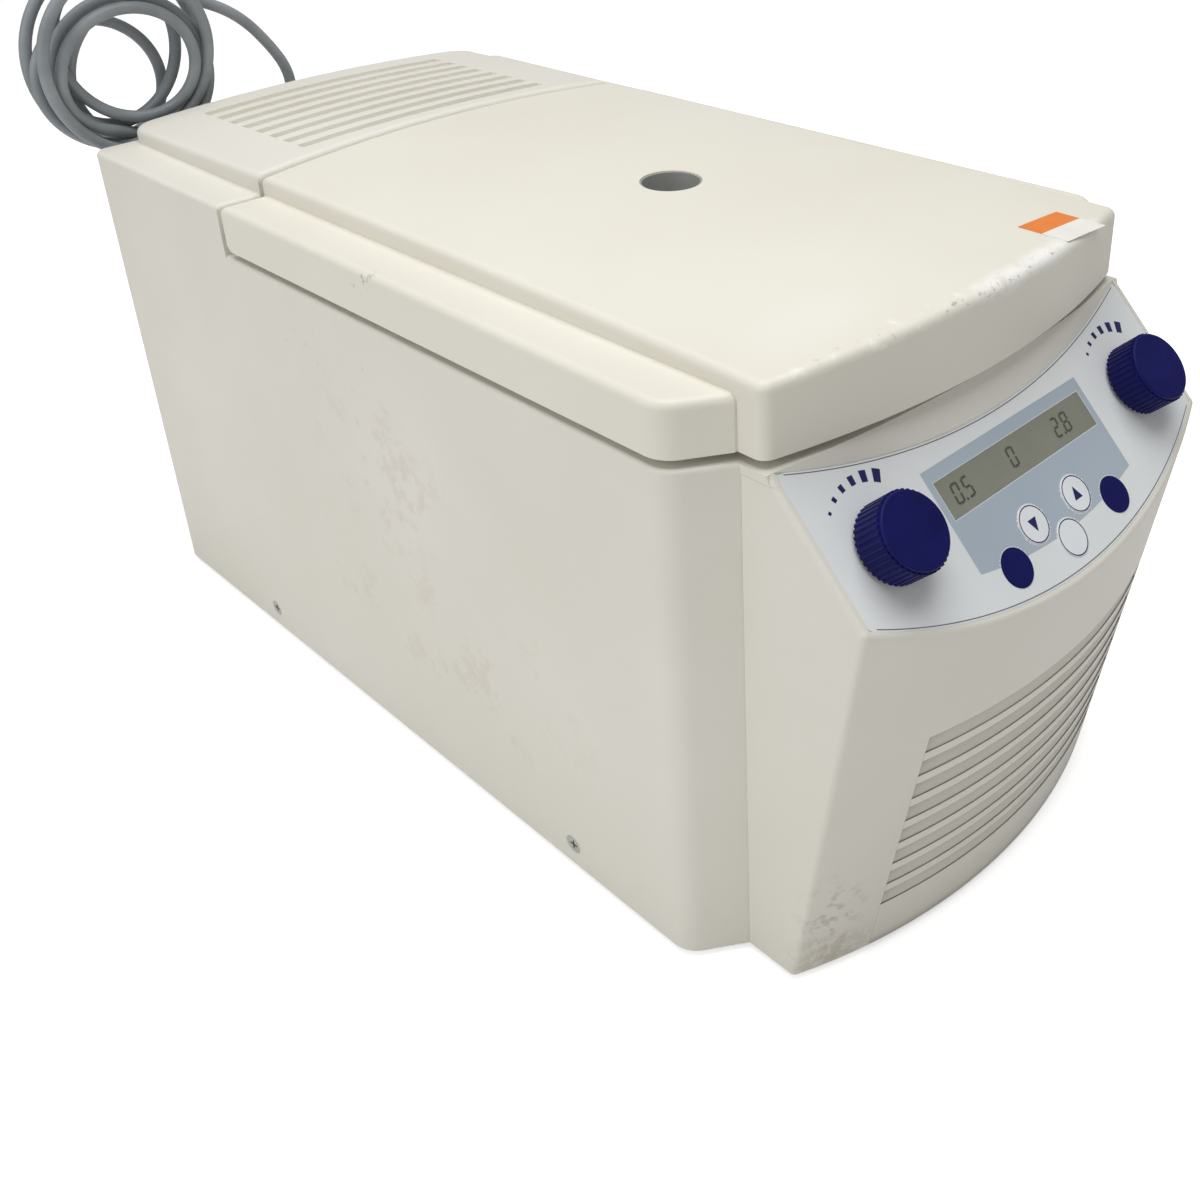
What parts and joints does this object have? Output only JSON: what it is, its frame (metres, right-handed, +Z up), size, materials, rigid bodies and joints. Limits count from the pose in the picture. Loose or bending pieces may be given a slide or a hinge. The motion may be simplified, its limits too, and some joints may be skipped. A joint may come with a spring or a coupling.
{
  "type": "refrigerated microcentrifuge",
  "caption": "Bench microcentrifuge with a hinged lid, sight hole, rotor chamber, sloping control panel, louvred front and a coiled mains lead.",
  "frame": {"origin": "on the bench under the middle of the machine's box, without its free cord", "axes": "+Z up, -Y towards the control panel, +X to the right as seen from the front"},
  "size_m": [0.3045, 0.661, 0.3803],
  "materials": {
    "housing_plastic": "moulded, slightly rough",
    "lid_plastic": "moulded, slightly rough",
    "liner_plastic": "moulded",
    "galvanised_steel": "rolled and galvanised",
    "black_rubber": "moulded",
    "grey_rubber": "moulded",
    "cord_grey": "moulded",
    "bright_steel": "turned and zinc plated",
    "foam": "foamed",
    "copper": "drawn tube",
    "nickel_brass": "plated",
    "enamelled_iron": "painted",
    "anodised_aluminium": "anodised",
    "plain_aluminium": "rolled",
    "black_plastic": "moulded",
    "printed_film": "printed polyester film",
    "clear_window": "cast acrylic",
    "display_glass": "glass and plastic",
    "board_green": "glass fibre laminate",
    "navy_plastic": "moulded",
    "white_plastic": "moulded"
  },
  "bodies": {
    "machine": {"front_fascia": "housing_plastic", "housing_shell": "housing_plastic", "front_grille": "housing_plastic", "rear_hood": "housing_plastic", "base_plate": "galvanised_steel", "feet": "black_rubber", "rubber_mounts": "black_rubber", "chamber_gasket": "grey_rubber", "strain_relief": "cord_grey", "cord_lead": "cord_grey", "cord_coil": "cord_grey", "cord_tail": "cord_grey", "cord_plug": "cord_grey", "side_screws": "bright_steel", "chamber_bowl": "bright_steel", "hinge_arms": "bright_steel", "chamber_insulation": "foam", "evaporator_coil": "copper", "refrigerant_pipes": "copper", "plug_pins": "nickel_brass", "motor": "enamelled_iron", "compressor": "enamelled_iron", "condenser": "plain_aluminium", "heat_sink": "plain_aluminium", "encoders": "black_plastic", "key_switches": "black_plastic", "latch_body": "black_plastic", "latch_solenoid": "black_plastic", "fan_frame": "black_plastic", "power_switch": "black_plastic", "control_label": "printed_film", "display_window": "clear_window", "display_module": "display_glass", "control_board": "board_green", "power_board": "board_green"},
    "lid": {"lid_shell": "lid_plastic", "lid_liner": "liner_plastic", "lid_plate": "galvanised_steel", "lid_hinge_ears": "bright_steel", "hinge_pins": "bright_steel", "viewport_tube": "grey_rubber", "viewport_window": "clear_window", "lid_hook": "bright_steel"},
    "rotor_group": {"drive_spindle": "bright_steel", "rotor": "anodised_aluminium", "rotor_nut": "anodised_aluminium", "rotor_lid": "anodised_aluminium", "rotor_lid_knob": "black_plastic"},
    "fan": {"fan_rotor": "black_plastic"},
    "bolt": {"latch_bolt": "bright_steel"},
    "rocker": {"power_rocker": "black_plastic"},
    "shaft_left": {"knob_shaft_left": "bright_steel"},
    "shaft_right": {"knob_shaft_right": "bright_steel"},
    "dial_left": {"knob_left": "navy_plastic"},
    "dial_right": {"knob_right": "navy_plastic"},
    "key_short_cap": {"key_short": "navy_plastic"},
    "key_down_cap": {"key_down": "white_plastic"},
    "key_fast_cap": {"key_fast": "white_plastic"},
    "key_up_cap": {"key_up": "white_plastic"},
    "key_open_cap": {"key_open": "navy_plastic"}
  },
  "joints": [
    {"name": "lid_hinge", "type": "hinge", "parent": "machine", "child": "lid", "pos_m": [0, 0.0994, 0.2818], "axis": [-1, 0, 0], "range_deg": [0, 70]},
    {"name": "rotor_spin", "type": "hinge", "parent": "machine", "child": "rotor_group", "pos_m": [0, -0.0689, 0.19], "axis": [0, 0, 1], "continuous": true},
    {"name": "fan_spin", "type": "hinge", "parent": "machine", "child": "fan", "pos_m": [0, 0.243, 0.125], "axis": [0, 1, 0], "continuous": true},
    {"name": "latch_bolt_slide", "type": "slide", "parent": "machine", "child": "bolt", "axis": [-1, 0, 0], "range_m": [0, 0.01], "stiffness_N_per_m": 200},
    {"name": "power_rocker_tilt", "type": "hinge", "parent": "machine", "child": "rocker", "pos_m": [0.078, 0.3059, 0.04], "axis": [-1, 0, 0], "range_deg": [0, 18]},
    {"name": "knob_left_press", "type": "slide", "parent": "machine", "child": "shaft_left", "axis": [0, 0.723, -0.6909], "range_m": [0, 0.001], "stiffness_N_per_m": 3000},
    {"name": "knob_left_turn", "type": "hinge", "parent": "shaft_left", "child": "dial_left", "pos_m": [-0.0885, -0.27731, 0.22681], "axis": [0, -0.723, 0.6909], "continuous": true},
    {"name": "knob_right_press", "type": "slide", "parent": "machine", "child": "shaft_right", "axis": [0, 0.723, -0.6909], "range_m": [0, 0.001], "stiffness_N_per_m": 3000},
    {"name": "knob_right_turn", "type": "hinge", "parent": "shaft_right", "child": "dial_right", "pos_m": [0.0885, -0.27731, 0.22681], "axis": [0, -0.723, 0.6909], "continuous": true},
    {"name": "key_short_press", "type": "slide", "parent": "machine", "child": "key_short_cap", "axis": [0, 0.723, -0.6909], "range_m": [0, 0.0004], "stiffness_N_per_m": 5000},
    {"name": "key_down_press", "type": "slide", "parent": "machine", "child": "key_down_cap", "axis": [0, 0.723, -0.6909], "range_m": [0, 0.0004], "stiffness_N_per_m": 5000},
    {"name": "key_fast_press", "type": "slide", "parent": "machine", "child": "key_fast_cap", "axis": [0, 0.723, -0.6909], "range_m": [0, 0.0004], "stiffness_N_per_m": 5000},
    {"name": "key_up_press", "type": "slide", "parent": "machine", "child": "key_up_cap", "axis": [0, 0.723, -0.6909], "range_m": [0, 0.0004], "stiffness_N_per_m": 5000},
    {"name": "key_open_press", "type": "slide", "parent": "machine", "child": "key_open_cap", "axis": [0, 0.723, -0.6909], "range_m": [0, 0.0004], "stiffness_N_per_m": 5000}
  ]
}
